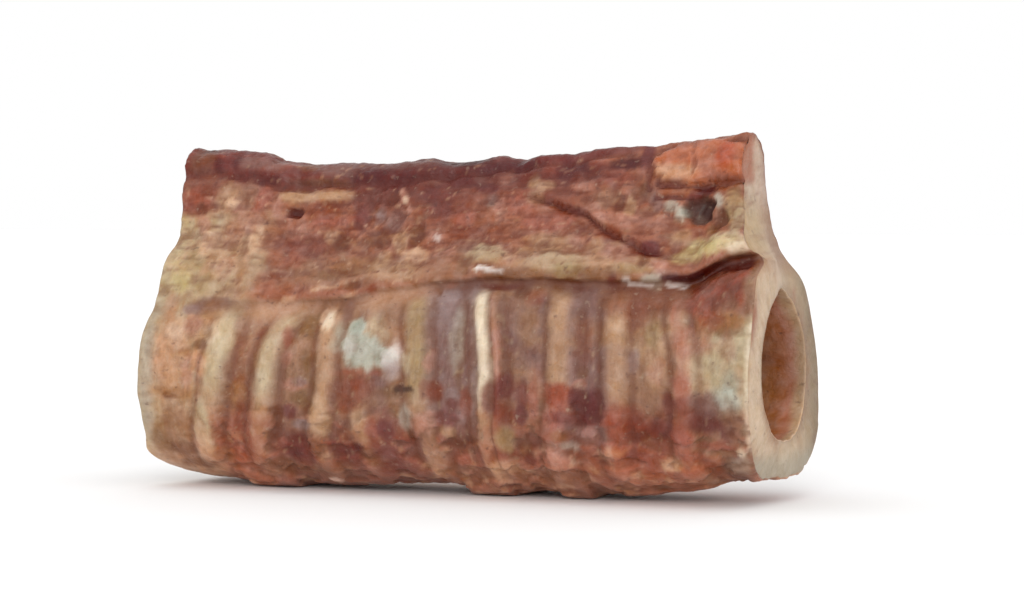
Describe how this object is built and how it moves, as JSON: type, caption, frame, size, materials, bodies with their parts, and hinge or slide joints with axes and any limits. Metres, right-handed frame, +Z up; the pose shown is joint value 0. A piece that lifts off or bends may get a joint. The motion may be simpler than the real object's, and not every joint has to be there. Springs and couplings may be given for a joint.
{
  "type": "dried veal trachea",
  "caption": "Cut length of dried windpipe: ringed tube with an open bore and pale bands between the rings, and a fin-like strip of dried muscle and fat along its back with an overhanging edge.",
  "frame": {"origin": "middle of the bounding box, on the plane the piece lies on", "axes": "+X along the windpipe towards the cut whose bore the picture shows, +Z up from the belly to the strip on its back, -Y towards the side the picture shows"},
  "size_m": [0.1084, 0.0374, 0.0582],
  "materials": {
    "tissue": "air-dried, satin with a few glossy fat edges"
  },
  "bodies": {
    "root": {"trachea": "tissue"}
  },
  "joints": []
}
